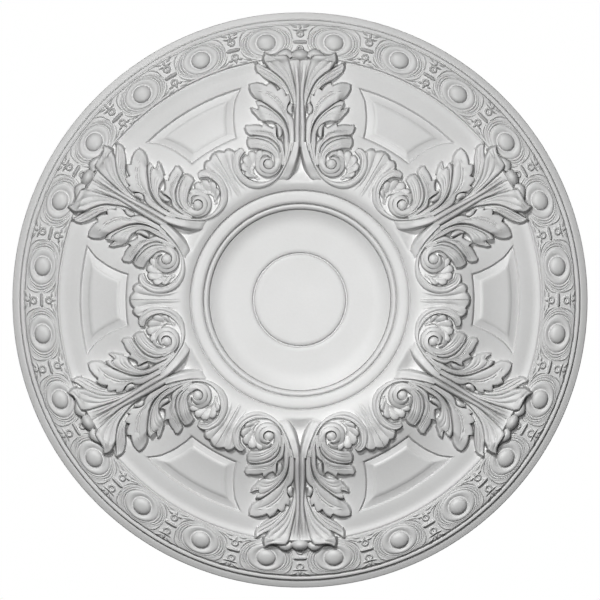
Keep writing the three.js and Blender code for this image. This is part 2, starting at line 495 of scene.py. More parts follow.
def panel_sink(radius, angle):
    inside = min(
        (PANEL_OUTER - radius) / OUTER_SPREAD,
        radius - PANEL_INNER,
        (panel_half_angle(radius) - angle) * radius / SIDE_SPREAD,
    )
    return blend_table(PANEL_SINKS, max(inside, 0))


def gap_height(radius, sideways, height):
    """Between the legs of a leaf group the crest falls in a short slope to a level floor."""
    if radius < GAP_START or radius > BAND_INNER or sideways > GAP_HALF_WIDTH:
        return height
    share = min((radius - GAP_START) / (GAP_FLOOR_START - GAP_START), 1)
    return min(height, CREST_HEIGHT + (GAP_FLOOR_HEIGHT - CREST_HEIGHT) * share)


print("a panel's groove lies", max(sink for place, sink in PANEL_SINKS) / MM, "mm under the field")

# %% [markdown]
# ## One half sector, then the whole ground
#
# The grid starts as a flat square, and each point moves to its bearing, radius and height. The
# half sector is mirrored and spun round six times, and merging the points that meet at the seams
# and at the centre closes the ground into one body.

# %% Ground grid
WELD = 0.02 * MM


def build_ground():
    shape = bmesh.new()
    columns = FLOOR_COLUMNS + WALL_COLUMNS + OUTER_COLUMNS
    rows = len(PROFILE) - 1
    grid = bmesh.ops.create_grid(shape, x_segments=columns, y_segments=rows, size=1)
    for vert in grid["verts"]:
        column = round((vert.co.x + 1) / 2 * columns)
        radius, height = PROFILE[round((vert.co.y + 1) / 2 * rows)]
        angle = column_angle(column, radius)
        bearing = math.pi / 2 - HALF_SECTOR + angle
        if height > BAND_OUTER_HEIGHT:
            height -= panel_sink(radius, angle)
            height = gap_height(radius, radius * math.cos(bearing), height)
        vert.co = (radius * math.cos(bearing), radius * math.sin(bearing), height)
    bmesh.ops.mirror(shape, geom=whole(shape), axis="X")
    turn_copies(shape, GROUPS)
    bmesh.ops.remove_doubles(shape, verts=shape.verts, dist=WELD)
    return shape


ground = finish_piece(build_ground(), "rose_ground")
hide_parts("ceiling_rose")

# %% [markdown]
# ## Smooth lines through drawn points
#
# A carver draws the outline of a leaf with a few bold points. `spline` runs a smooth line through
# them, and a point marked TIP or NOTCH stays a corner. Two such lines are the two sides of a leaf,
# and a share of the way along one is ruled across to the same share of the other.

# %% Splines
# Any third value marks a corner, and the two names say which way it points.
TIP = True
NOTCH = True


def spline(points, place):
    """The point at `place`, from 0 to the last index, on the smooth line through `points`."""
    last = len(points) - 1
    index = min(int(place), last - 1)
    share = place - index
    start, end = Vector(points[index][:2]), Vector(points[index + 1][:2])
    before = start if index == 0 or len(points[index]) > 2 else Vector(points[index - 1][:2])
    after = end if index + 1 == last or len(points[index + 1]) > 2 else Vector(points[index + 2][:2])
    leave = end - start if before == start else (end - before) / 2
    arrive = end - start if after == end else (after - start) / 2
    square, cube = share * share, share * share * share
    return (
        start * (2 * cube - 3 * square + 1)
        + leave * (cube - 2 * square + share)
        + end * (3 * square - 2 * cube)
        + arrive * (cube - square)
    )


# %% [markdown]
# ## A carved sheet
#
# Every leaf, petal, scroll band and shell is the same kind of body: a blank with an outline,
# standing on the ground, whose top is gouged. Its points lie at stations along the leaf and in
# rows across it. The rim is rounded over, because primer leaves no knife edge.

# %% Where a sheet has its points
ROUND_OVER = 2.0 * MM
END_STATIONS = (0.3, 0.55, 0.72, 0.84, 0.92, 0.965, 1.0)
EDGE_ROWS = (0.0, 0.02, 0.05, 0.09)
STATION_STEPS = 3
CALMED_POINTS = 3


def stations_of(count):
    """Places along a sheet: a few steps for each drawn point, closer together at the end."""
    places = [index + step / STATION_STEPS for index in range(count - 2) for step in range(STATION_STEPS)]
    return places + [count - 2] + [count - 2 + share for share in END_STATIONS]


def rows_of(section):
    """Places across a sheet: the section's own points, halfway points and the two rims."""
    places = set(EDGE_ROWS) | {1 - row for row in EDGE_ROWS}
    inner = [place for place, rise in section]
    places |= set(inner) | {(low + high) / 2 for low, high in zip(inner, inner[1:])}
    return sorted(places)


def rounded(distance):
    """How far the rim has dropped at a distance in from it."""
    short = ROUND_OVER - min(distance, ROUND_OVER)
    return ROUND_OVER - math.sqrt(ROUND_OVER * ROUND_OVER - short * short)


def eased(points):
    """The drawn points with their teeth smoothed away, for the veins to follow."""
    last = len(points) - 1
    line = []
    for index in range(last + 1):
        reach = min(CALMED_POINTS, index, last - index)
        sideways, outwards = zip(*(point[:2] for point in points[index - reach:index + reach + 1]))
        line.append((sum(sideways) / len(sideways), sum(outwards) / len(outwards)))
    return line


# %% [markdown]
# ## The blank
#
# A sheet starts as a flat grid that is extruded. The lower copy will stay buried in the ground and
# close the body, and the upper one will be carved.

# %% The blank of a sheet
BURIED = 3 * MM


def blank(shape, columns, rows):
    """All points of a new grid and its extruded copy, and the set of those in the copy."""
    grid = bmesh.ops.create_grid(shape, x_segments=columns - 1, y_segments=rows - 1, size=1)["verts"]
    faces = list(dict.fromkeys(face for vert in grid for face in vert.link_faces))
    raised = bmesh.ops.extrude_face_region(shape, geom=faces, use_keep_orig=True)["geom"]
    tops = set(verts_in(raised))
    return set(grid) | tops, tops


# %% [markdown]
# ## Gouging one sheet
#
# `sheet` lays the blank between the two drawn sides. The buried copy is a little wider, so the
# walls slope, as they must in a casting that leaves its mould. The upper copy is raised by a lift
# along the leaf and a section across it. Teeth fade away inwards, and gouges run out where a leaf
# gets narrow or ends.

# %% Carved sheets
LIFT_SCALE = 1.4
# How far a wall's foot stands out, in photo pixels, at the sides and at the tip
WALL_SPREAD = 1.6
END_SPREAD = 2.8
# Powers that say how fast teeth, the bent tip, gouges and ribs fade
TOOTH_FADE = 4
END_BEND = 5
GOUGE_FADE = 9
RIB_FADE = 0.6


def sheet(shape, upper, lower, lifts, section, end=(), full_width=24, floor=leaf_ground,
          buried=BURIED, ribs=None, lean=0):
    """A carved body between two drawn sides. Outlines and full_width are in photo pixels,
    lifts and section in millimetres above the floor; both are tables of (share, value).
    With ribs, (period, rise), flutes fan out from the lower side to the upper one. With lean,
    the veins drift towards the upper side on their way to the tip."""
    last = len(upper) - 1
    stations = stations_of(len(upper))
    rows = rows_of(section)
    calm = eased(upper)
    end_line = [upper[-1][:2], *end, lower[-1][:2]]
    end_start, end_finish = Vector(end_line[0]), Vector(end_line[-1])
    points, tops = blank(shape, len(stations), len(rows))
    for vert in points:
        station = stations[round((vert.co.x + 1) / 2 * (len(stations) - 1))]
        row = rows[round((vert.co.y + 1) / 2 * (len(rows) - 1))]
        share = station / last
        above, below = spline(upper, station), spline(lower, station)
        calm_above = spline(calm, station)
        edge = spline(end_line, row * (len(end_line) - 1))
        spot = calm_above.lerp(below, row) + (above - calm_above) * (1 - row) ** TOOTH_FADE
        spot += (edge - end_start.lerp(end_finish, row)) * share ** END_BEND
        width = (above - below).length
        if vert not in tops:
            across = (above - below).normalized()
            if row in (0, 1):
                spot += across * WALL_SPREAD * (1 - 2 * row)
            if share == 1:
                spot += Vector((across.y, -across.x)) * END_SPREAD
        x, y = spot.x * PIXEL, spot.y * PIXEL
        if vert not in tops:
            vert.co = (x, y, field_height(math.hypot(x, y)) - buried)
            continue
        strength = min(1.0, width / full_width) * (1 - share ** GOUGE_FADE)
        rim = min(row * width, (1 - row) * width, (spot - edge).length) * PIXEL
        vein = row + lean * (share - 0.5) * 4 * row * (1 - row)
        rise = LIFT_SCALE * blend_table(lifts, share) + blend_table(section, vein) * strength
        if ribs:
            period, height = ribs
            rise += height * math.sqrt(abs(math.sin(math.pi * station / period))) * (1 - row) ** RIB_FADE
        vert.co = (x, y, floor(x, y) + rise * MM - rounded(rim))


# %% [markdown]
# ## Bands and knobs
#
# A thin curled member is a sheet too, drawn as a path with a width. A ball or an eye is a knob: a
# sphere squeezed to its size, half sunk in the ground.

# %% Ribbons and knobs
def ribbon(shape, path, lifts, section, full_width=5):
    """A carved band along a path of (x, y, half width) points."""
    left, right = [], []
    for index, (x, y, half) in enumerate(path):
        before, after = path[max(index - 1, 0)], path[min(index + 1, len(path) - 1)]
        along = Vector((after[0] - before[0], after[1] - before[1])).normalized()
        left.append((x - along.y * half, y + along.x * half))
        right.append((x + along.y * half, y - along.x * half))
    sheet(shape, left, right, lifts, section, full_width=full_width)


def knob(shape, centre, size, lift=0, segments=20, rings=10):
    """A rounded knob: a ball squeezed to a size in photo pixels, its middle lifted by a little."""
    ball = bmesh.ops.create_uvsphere(shape, u_segments=segments, v_segments=rings, radius=1)
    x, y = centre[0] * PIXEL, centre[1] * PIXEL
    for vert in ball["verts"]:
        vert.co = (
            x + vert.co.x * size[0] * PIXEL,
            y + vert.co.y * size[1] * PIXEL,
            leaf_ground(x, y) + vert.co.z * size[2] * PIXEL + lift * MM,
        )


# %% [markdown]
# ## The leaf group
#
# One group is an acanthus plant that grows outwards from the crest ring: a stem, two petals and a
# bud at the top, four lobes down each side, a volute round a ball, a small cockle beside it, and a
# C-shaped scroll round them. Only the right half is drawn. Sections run from the upper side of a
# lobe to the lower one, as pairs of (share of the width, millimetres): a raised rim, a groove,
# then veins between gouges.

# %% Sections
LOBE_SECTION = (
    (0, 0.2), (0.14, 1.4), (0.32, 1.0), (0.44, 1.4), (0.5, -1.2), (0.56, 1.4), (0.62, -1.0),
    (0.69, 1.3), (0.82, 1.9), (0.92, 1.6), (1, 0),
)
RIM_SECTION = (
    (0, 1.0), (0.07, 2.2), (0.13, 1.8), (0.17, -2.8), (0.22, 0.8), (0.4, 1.6), (0.5, 0.2),
    (0.58, 1.4), (0.68, 0.4), (0.8, 1.6), (1, 0),
)
PETAL_SECTION = (
    (0, 0.6), (0.16, 1.4), (0.3, -1.2), (0.42, 1.4), (0.56, 0.8), (0.66, -1.0), (0.8, 1.2), (1, 0.6),
)
ROD_SECTION = ((0, 0), (0.25, 1.6), (0.5, 2.2), (0.75, 1.6), (1, 0))
BAND_SECTION = (
    (0, 1.0), (0.12, 2.2), (0.24, 0.2), (0.36, 1.0), (0.5, 0), (0.64, 0.4), (0.76, 2.0),
    (0.86, 0.6), (0.93, 1.6), (1, 0.8),
)
LEG_SECTION = ((0, -6), (0.06, -2.4), (0.14, 1), (0.22, 1.8), (0.6, 1.2), (0.85, 1.8), (1, 0))
STEM_SECTION = ((0, -4.8), (0.12, -2.2), (0.28, 1.4), (0.6, 1.9), (0.85, 0.6), (1, -2.4))
print("a lobe is gouged with", len(rows_of(LOBE_SECTION)), "rows of points across it")

# %% [markdown]
# ## Stem and petals
#
# The stem is a rounded rod with a groove down the middle line and two fine flutes a side. Beside
# it stand a narrow petal behind and a broad one in front, with a small curl over the top.

# %% Stem, petals and curl
def carve_stem(shape):
    edge = [(0, 152), (0, 164), (0, 180), (0, 195), (0, 210), (0, 225), (0, 240)]
    side = [(4.8, 152), (5.2, 164), (5, 180), (4.2, 195), (4.2, 210), (7.4, 225), (11.2, 240)]
    lifts = ((0, 9), (0.15, 12), (0.6, 14), (1, 11))
    sheet(shape, edge, side, lifts, STEM_SECTION, full_width=5)
    flutes = ([(2.6, 196, 0.6), (3, 208, 0.8), (4.2, 220, 0.9), (5.6, 230, 1), (7.4, 239, 1)],
              [(1.4, 204, 0.5), (1.6, 216, 0.7), (2.2, 228, 0.8), (3, 239, 0.8)])
    for flute in flutes:
        ribbon(shape, flute, ((0, 12), (0.5, 14), (1, 11)), ROD_SECTION, full_width=3)


def carve_petals(shape):
    behind_upper = [(6.5, 193), (8, 200), (10.5, 206.5), (13.5, 213), (18, 219.5), (23.5, 224.5),
                    (29, 228.8), (34, 231.3), (39, 233.8), (43.4, 236.7)]
    behind_lower = [(9, 193), (10.5, 199), (13, 204), (16, 208), (19.5, 211), (23.5, 214.8), (28, 217.4),
                    (32.5, 219.6), (37.5, 223), (42.2, 227.6)]
    sheet(shape, behind_upper, behind_lower, ((0, 5), (0.5, 10), (1, 7)), PETAL_SECTION,
          end=[(43.8, 231.5)], full_width=11)
    front_upper = [(4.4, 186), (4.2, 194), (4, 203), (5, 211), (6.4, 217.5), (7.6, 224), (9.3, 231),
                   (11.2, 238.6), (14.5, 243.6, TIP), (20, 243.4), (25, 242.8), (30, 243.3), (34.6, 245.6)]
    front_lower = [(5.2, 186), (5.7, 193), (7.2, 200), (9.5, 206.2), (12, 212), (15, 217), (19, 221.5),
                   (24, 225.7), (28, 228.5), (30.3, 230.7), (32, 232.9), (33.7, 234.9), (35.2, 236.8)]
    sheet(shape, front_upper, front_lower, ((0, 8), (0.4, 14), (0.8, 17), (1, 14)), PETAL_SECTION,
          end=[(35.8, 241)], full_width=14)


def carve_curl(shape):
    path = [(8.8, 241.8, 2), (10.8, 245, 2.8), (14, 246.4, 3), (17.6, 245.6, 2.6), (20.8, 244.2, 1.8),
            (24, 242.8, 0.8)]
    ribbon(shape, path, ((0, 9), (0.4, 11), (1, 9)), ROD_SECTION)


# %% [markdown]
# ## The upper lobes
#
# From the top down the lobes get smaller and have fewer teeth. The next lobe partly covers the
# lower side of each. A ribbon bent round the root of the first makes its eye.

# %% The two upper lobes
def carve_lobe_one(shape):
    upper = [(6, 148), (6, 160), (6.1, 170), (6.6, 178), (9.4, 183.6), (13.8, 187.4), (14.2, 192),
             (11.2, 196.6), (9.8, 199.6), (11.3, 205, TIP), (14, 203.2, NOTCH), (15.2, 208),
             (17.3, 211.2, TIP), (19.8, 210.4), (22, 208.3, NOTCH), (24, 211.5), (27, 214.5),
             (30.5, 216.2, TIP), (32.6, 213, NOTCH), (37, 214.8), (42, 215.9), (46, 215.8), (49.7, 214.8)]
    lower = [(10.4, 148), (10.5, 158), (10.7, 165), (11.6, 170.5), (13, 175), (14.6, 178.3), (16, 180.5),
             (17, 181.8), (18.2, 183.2), (19.8, 185), (21.6, 186.6), (23.1, 187.8), (24.8, 189.1),
             (26.6, 190.5), (28.2, 191.7), (29.6, 192.8), (31.3, 194.1), (33, 195.3), (34.4, 196.2),
             (36.2, 197.3), (38, 198.3), (39.6, 199.2), (41.2, 200)]
    lifts = ((0, 7), (0.2, 11), (0.5, 13), (0.85, 12), (1, 7))
    end = [(50.2, 212), (49, 208), (46.5, 204), (43.6, 201.4)]
    sheet(shape, upper, lower, lifts, LOBE_SECTION, end=end, full_width=20, lean=0.5)
    eye = [(8.6, 185.8, 1.4), (10.2, 188.6, 2.5), (10.2, 191.8, 2.4), (8.6, 195.4, 1.2)]
    ribbon(shape, eye, ((0, 8), (0.5, 10), (1, 9)), ROD_SECTION)


def carve_lobe_two(shape):
    upper = [(12.8, 138), (11, 146), (11.1, 155), (11.4, 161), (12.2, 166.6), (13.9, 172.6), (16.6, 178.2),
             (20, 183), (24, 187), (28.2, 190.4), (32.2, 193.4), (36, 196), (40, 197.7), (44, 197.5, TIP),
             (42.3, 193), (39.5, 189.5, NOTCH), (43.5, 189.8), (48, 191.6)]
    lower = [(17, 137), (15, 146), (15.6, 154), (15.7, 160), (15.9, 164.5), (17, 168.8), (19.2, 172.5),
             (21.6, 174.8), (24.2, 176.4), (26.6, 177.6), (29, 178.2), (31, 178.4), (32.5, 178.3),
             (34, 178.1), (35.4, 178), (37, 178.2), (38.8, 179.2), (40.3, 180.6)]
    lifts = ((0, 6), (0.3, 10), (0.7, 11), (1, 7))
    end = [(47.2, 188.3), (44.5, 185.2), (42, 182.3)]
    sheet(shape, upper, lower, lifts, RIM_SECTION, end=end, full_width=16)


# %% [markdown]
# ## The lower lobes
#
# The third lobe still has teeth and a thin finger at its root, and the fourth is a plain blade.

# %% The two lower lobes
def carve_lobe_three(shape):
    upper = [(14.6, 134), (15.4, 141), (16, 149), (17, 155), (19.6, 158.4), (23.2, 160.8), (23.8, 165.4),
             (23.6, 170), (24.4, 173.2, TIP), (26.6, 170.6, NOTCH), (31, 172.6), (36.5, 177, TIP),
             (36.5, 172.2, NOTCH), (40.5, 173.7), (45.5, 174.1), (49.4, 173.6), (52.6, 174)]
    lower = [(18.6, 134), (18.6, 141), (19.2, 147), (20.6, 151.8), (22.9, 155.3), (25, 157.4),
             (26.6, 158.6), (28.4, 159.8), (30, 160.9), (32, 161.6), (34.5, 162.3), (37, 162.8),
             (39.5, 163.2), (42, 163.6), (44.5, 164), (46.5, 164.3), (48.5, 164.2)]
    lifts = ((0, 6), (0.3, 9), (0.7, 11), (1, 7))
    end = [(54.2, 172), (53.6, 169.4), (52.2, 166.4), (50.4, 164.6)]
    sheet(shape, upper, lower, lifts, LOBE_SECTION, end=end, full_width=13)
    finger = [(20.4, 162.2, 1.2), (20.1, 165.2, 2.1), (20.2, 168.6, 2.1), (21.2, 172, 1.7),
              (23.4, 174.8, 0.8)]
    ribbon(shape, finger, ((0, 9), (0.5, 10), (1, 9)), ROD_SECTION)


def carve_lobe_four(shape):
    upper = [(19.6, 136), (19.7, 142), (20.3, 148), (22, 152.5), (25.5, 156.6), (30, 159.6), (35, 161.6),
             (41, 162.6), (46, 162.6), (50.4, 161.8)]
    lower = [(25.2, 136), (25.9, 142), (28.2, 145.6), (31.5, 147.4), (34.5, 148.5), (37.2, 149.4),
             (39.7, 150.1), (42.5, 150.5), (46, 150.7), (49.5, 150.8)]
    lifts = ((0, 8), (0.3, 9), (0.7, 11), (1, 7))
    end = [(51.6, 159.4), (51.8, 156), (51, 152.8)]
    sheet(shape, upper, lower, lifts, RIM_SECTION, end=end, full_width=12)


# %% [markdown]
# ## Volute and cockle
#
# The lobes end below in a volute: two ribbons that wind round a ball on a low disc. Beside it a
# cockle fans out, its scallops made by ribs that run from the root to the rim. The root has one
# point fewer than the rim, so its line carries on past its last point to the cockle's tip.

# %% Volute and cockle
VOLUTE_CENTRE = (31, 135)
VOLUTE_DISC = (11.6, 11.6, 1.8)
VOLUTE_BALL = (5.1, 5.1, 3.6)


def carve_volute(shape):
    knob(shape, VOLUTE_CENTRE, VOLUTE_DISC, segments=32)
    knob(shape, VOLUTE_CENTRE, VOLUTE_BALL, lift=5)
    inner = [(30.4, 140.4, 0.9), (33.4, 140.9, 1.5), (36.6, 139.6, 2), (38.7, 136.4, 2.2),
             (38.4, 132.4, 2.1), (35.7, 129, 1.9), (31.4, 127.3, 2), (27, 128.2, 2.3), (23.7, 131.4, 2.6),
             (22.5, 136, 2.8), (22.8, 141, 3)]
    ribbon(shape, inner, ((0, 10), (0.5, 9), (1, 8.5)), ROD_SECTION)
    outer = [(28.6, 142, 1), (32, 145.2, 1.7), (36.6, 145.8, 1.8), (40.6, 142.6, 1.6), (42.8, 137, 1.4),
             (42.5, 131, 1.3), (39.6, 126.5, 1.2), (35.4, 124, 1.2), (30.6, 123.4, 1.1), (25.6, 125.3, 1.1),
             (21.4, 129.4, 1), (19.7, 134.5, 1), (19.4, 140, 0.9), (19.6, 146, 0.8)]
    ribbon(shape, outer, ((0, 9), (0.3, 8), (0.7, 6.5), (1, 9)), ROD_SECTION)


def carve_cockle(shape):
    rim = [(36.8, 144.5), (38, 148.2), (41.3, 148.4), (43.6, 145.4, NOTCH), (46.2, 147.4), (50.2, 146.8),
           (51.7, 143.6, NOTCH), (54.6, 143), (56.8, 139.5), (56.2, 136.3, NOTCH), (58.4, 133.5),
           (57.6, 129.4), (54.6, 127.2, NOTCH), (54, 123.6), (50.6, 121.4), (46.6, 121.8, NOTCH),
           (42.6, 119.4)]
    root = [(43.4, 136), (43.8, 135), (44.3, 134), (44.8, 133), (45.2, 132), (45.6, 131), (46, 130),
            (46.2, 129), (46.2, 128), (46, 127), (45.6, 126), (45, 125), (44.2, 124.2), (43.2, 123.4),
            (42, 122.6), (40.6, 121.8)]
    section = ((0, 3.2), (0.2, 3.4), (0.45, 0.4), (0.7, -3.2), (0.85, -2.4), (1, 0))
    lifts = ((0, 5), (0.5, 4.5), (0.8, 3), (1, 0))
    sheet(shape, rim, root, lifts, section, full_width=12, ribs=(3, 3.6))


# %% [markdown]
# ## The scroll and its leg
#
# A flat fluted band runs from the stem down and round the volute in the shape of a C. Inside it a
# leg with a hollow face goes on from the stem to the crest ring. Both are buried deeper than the
# leaves, because the ground drops away beside them.

# %% Scroll and leg
DEEPLY_BURIED = 14 * MM


def carve_scroll(shape):
    outer = [(7.5, 155), (9.6, 147), (12, 139), (15.6, 131), (20, 123.2), (25, 118), (31.5, 113.8),
             (40, 111), (49.5, 111.8), (58, 117), (64, 124), (67.2, 131), (67.5, 138), (66, 145),
             (61.5, 149.6), (57.3, 150.6)]
    inner = [(11.3, 156), (12.4, 148), (14.2, 140), (17.4, 130.8), (21.8, 123.2), (26.4, 119.6),
             (32.3, 117.4), (40, 117), (47.5, 118.8), (53.2, 121.8), (57.2, 126.3), (59.3, 131.2),
             (60, 137), (59, 142), (56.5, 145.2), (54.6, 147.6)]
    lifts = ((0, 8), (0.3, 5), (0.5, 3.5), (0.7, 6), (0.88, 9.5), (1, 9))
    sheet(shape, outer, inner, lifts, BAND_SECTION, full_width=7, buried=DEEPLY_BURIED)


def carve_leg(shape):
    edge = [(0.2, 157), (0.6, 149), (2, 141), (3.8, 134), (6, 128), (9.6, 121.6), (14, 115)]
    side = [(6.6, 157), (8.2, 150), (10.8, 142), (13.4, 135), (17, 127.6), (20.8, 121.4), (26, 114.6)]
    lifts = ((0, 10), (0.4, 7), (0.8, 1.5), (1, -5))
    sheet(shape, edge, side, lifts, LEG_SECTION, full_width=7, buried=DEEPLY_BURIED)


# %% [markdown]
# ## One whole group, six times
#
# One side is carved into one mesh, the other side is its mirror copy, and the bud sits on the
# middle line. Six copies are turned to their places, each a piece of its own.

# %% Leaf groups
BUD_PLACE = (0, 243.9)
BUD_SIZE = (8.9, 6, 8.6)


def carve_leaf_group():
    shape = bmesh.new()
    carvers = (carve_stem, carve_petals, carve_curl, carve_lobe_one, carve_lobe_two, carve_lobe_three,
               carve_lobe_four, carve_volute, carve_cockle, carve_scroll, carve_leg)
    for carve in carvers:
        carve(shape)
    add_mirror_copy(shape)
    knob(shape, BUD_PLACE, BUD_SIZE, lift=4, segments=28, rings=14)
    return shape


leaf_group = carve_leaf_group()
for index in range(GROUPS):
    finish_piece(leaf_group, f"leaf_group_{index + 1}", 2 * HALF_SECTOR * index)

# %% [markdown]
# ## The shells
#
# Between two leaf groups a scallop shell covers the place where their scrolls meet. Its outer
# edge has five lobes, and its ribs run together and fade towards the crest ring. Half a shell is
# drawn along +Y, and its mirror copy and a turn by half a sector bring it between the groups.

# %% Shells
def carve_shell(shape):
    middle = [(0, 119), (0, 126), (0, 133), (0, 140), (0, 147), (0, 154), (0, 161), (0, 168.3)]
    side = [(13, 118), (10.6, 126), (9, 132), (8.4, 138), (9.2, 144), (11, 149.5), (13.8, 154.5),
            (16.6, 159.5)]
    scallops = [(3, 168), (6, 166), (8, 164.2, NOTCH), (10, 165.3), (13, 164.6), (15.3, 162.3)]
    section = ((0, 2.6), (0.2, 1.8), (0.41, -2.4), (0.48, -0.4), (0.64, 2), (0.78, 1.6), (0.86, -2),
               (0.93, 0.6), (1, 0.4))
    lifts = ((0, -1.5), (0.25, 0.5), (0.6, 4.5), (1, 10))
    sheet(shape, middle, side, lifts, section, end=scallops, full_width=12,
          floor=lambda x, y: field_height(math.hypot(x, y)))


shells = bmesh.new()
carve_shell(shells)
add_mirror_copy(shells)
bmesh.ops.rotate(shells, matrix=Matrix.Rotation(HALF_SECTOR, 3, "Z"), verts=shells.verts)
turn_copies(shells, GROUPS)
finish_piece(shells, "shells")

# %% [markdown]
# ## The egg-and-dart band
#
# Each egg is a ball in an oval cup with thin ridges round it. It is made as a disc of rings, each
# with its own half width, half depth and rise. The flowers of the darts are smaller discs.

# %% Rings of an egg and of a flower
EGGS = 24
EGG_PLACE = 259
EGG_SIDES = 48
EGG_TOP = 9.4
CUP_EDGE = 19.8
EGG_RINGS = (
    (2.9, 2.5, 9.2), (5.3, 4.6, 8.4), (7.2, 6.3, 6.8), (8.7, 7.5, 4.8), (9.4, 8, 2), (9.6, 8.2, -1.2),
    (10.4, 8.8, -1.2), (11.2, 9.3, 0.4), (12.6, 10.2, 1.9), (14.4, 11.3, 2.7), (16.4, 12.3, 2.9),
    (17.8, 13, 2.2), (18.7, 13.5, 0.6), (19.2, 13.9, -1.2), (19.7, 14.2, 1.2), (20.5, 14.7, 2.8),
    (21.3, 15, 1.2), (21.8, 15.2, -0.6), (22.3, 15.4, 1.4), (23.1, 15.5, 2.4), (23.9, 15.6, 1),
    (24.4, 15.65, -0.6), (25, 15.7, 1.2), (25.8, 15.75, 1.6), (26.6, 15.8, -1.2),
)
FLOWER_TOP = 3.4
FLOWER_RINGS = (
    (0.6, 0.5, 2.8), (0.9, 0.8, -0.8), (1.8, 1.5, -0.8), (2.3, 2, 3.6), (3.1, 2.7, 4.6), (3.9, 3.4, 3.2),
    (4.5, 4, -1),
)
print("an egg has", len(EGG_RINGS), "rings and a flower has", len(FLOWER_RINGS))


def on_band(sideways, radius, rise):
    """A place on the band: photo pixels along it and out from the centre, and millimetres above."""
    bearing = math.pi / 2 - sideways / EGG_PLACE
    height = field_height(min(radius * PIXEL, BAND_OUTER)) + rise * MM
    return radius * PIXEL * math.cos(bearing), radius * PIXEL * math.sin(bearing), height


# %% [markdown]
# ## A disc bent to the band
#
# A lathe would make round rings only. Here a circle is extruded ring by ring as a flat disc, and
# each ring then gets its own width and depth. An egg's outer ridges die out at the band's edges.

# %% Discs and eggs
# The circle has radius 1 and a centre point, and this radius tells them apart.
HUB = 0.5


def carve_disc(shape, place, top, rings, sides, fade_from=math.inf):
    """A disc on the band, its rings given by half width, half depth and rise, closed underneath."""
    disc = bmesh.ops.create_circle(shape, cap_ends=True, cap_tris=True, segments=sides, radius=1)
    edges = [edge for edge in shape.edges if edge.is_boundary]
    layers = [[vert for vert in disc["verts"] if vert.co.length > HUB]]
    for ring in range(1, len(rings)):
        made = bmesh.ops.extrude_edge_only(shape, edges=edges)["geom"]
        edges = [item for item in made if isinstance(item, bmesh.types.BMEdge) and item.is_boundary]
        layers.append(verts_in(made))
        bmesh.ops.scale(shape, vec=((ring + 1) / ring,) * 3, verts=layers[-1])
    for vert in disc["verts"]:
        if vert.co.length < HUB:
            vert.co = on_band(0, place, top)
    for (wide, deep, rise), verts in zip(rings, layers):
        for vert in verts:
            direction = vert.co.normalized()
            fading = direction.x ** 2 if wide > fade_from and rise > 0 else 1
            vert.co = on_band(direction.x * wide, place + direction.y * deep, rise * fading)
    bmesh.ops.edgeloop_fill(shape, edges=edges)


eggs = bmesh.new()
carve_disc(eggs, EGG_PLACE, EGG_TOP, EGG_RINGS, EGG_SIDES, CUP_EDGE)
bmesh.ops.rotate(eggs, matrix=Matrix.Rotation(math.pi / EGGS, 3, "Z"), verts=eggs.verts)
turn_copies(eggs, EGGS)
finish_piece(eggs, "eggs")

# %% [markdown]
# ## The darts
#
# Between two eggs a small bar ties the ridges together. Outwards of it a flower with an eye opens
# into curled leaf tips and a pointed bud, and inwards of it hangs a second one. Bars and leaves
# are tendrils. Each row below is a line, its half width, its rise and how tapered its ends are.

# %% Lines of a dart
FLOWER_SIDES = 16
OUTER_FLOWER = 265.8
INNER_FLOWER = 250.6
MIDDLE_LINES = (
    ([(-7.2, 257.8), (-3.6, 257.8), (3.6, 257.8), (7.2, 257.8)], 1.6, 7.2, 0.25),
    ([(-7.4, 270.2), (-3.6, 269.4), (0, 269), (3.6, 269.4), (7.4, 270.2)], 1, 5.4, 0.6),
    ([(0, 270.2), (0, 272), (0, 275)], 1.6, 4.4, 1),
    ([(0, 248.2), (0, 246.6), (0, 243.6)], 1.5, 4.8, 0.9),
)
SIDE_LINES = (
    ([(2.4, 271.8), (5.2, 273.2), (9.6, 274.6)], 0.9, 3.4, 0.8),
    ([(7.2, 259.8), (7.9, 263), (9.3, 268), (12.2, 271.8), (17, 274.2)], 0.6, 2.8, 0.5),
    ([(2.6, 248.2), (5, 247.8), (8.4, 247.8)], 0.9, 4.6, 0.8),
    ([(7.6, 247.4), (12, 245.4), (17, 243.9)], 0.55, 2.6, 0.6),
    ([(3.4, 244.4), (7.6, 243.9), (12, 243.5)], 0.9, 2.6, 0.7),
    ([(7.2, 256), (8.3, 252), (11.4, 248), (16.6, 245), (22, 243.6)], 0.6, 2.6, 0.5),
)
print("a dart has", len(MIDDLE_LINES) + 2 * len(SIDE_LINES), "tendrils and 2 flowers")

# %% [markdown]
# ## A tendril
#
# A tendril is a ball stretched along a drawn line, which closes both ends in one go. `taper` is a
# power: near 0 the ends are square, and at 1 they are round.

# %% Darts
DART_SIDES = 8
DART_RINGS = 4
LOOK_AHEAD = 0.05
POLE = 0.001


def tendril(shape, path, half_width, rise, taper, side=1):
    """A ridge on the band along (sideways, radius) points: a ball stretched along that line."""
    last = len(path) - 1
    line = [(side * sideways, radius) for sideways, radius in path]
    ball = bmesh.ops.create_uvsphere(
        shape, u_segments=DART_SIDES, v_segments=DART_RINGS * last, radius=1
    )
    for vert in ball["verts"]:
        turn = math.acos(min(max(vert.co.z, -1), 1))
        place = last * turn / math.pi
        spot = spline(line, place)
        ahead = spline(line, min(place + LOOK_AHEAD, last)) - spline(line, max(place - LOOK_AHEAD, 0))
        along = ahead.normalized()
        girth = math.sin(turn)
        swell = girth ** (taper - 1) if girth > POLE else 0
        across = vert.co.x * swell * half_width
        lift = vert.co.y * swell * rise
        vert.co = on_band(spot.x - along.y * across, spot.y + along.x * across, lift)


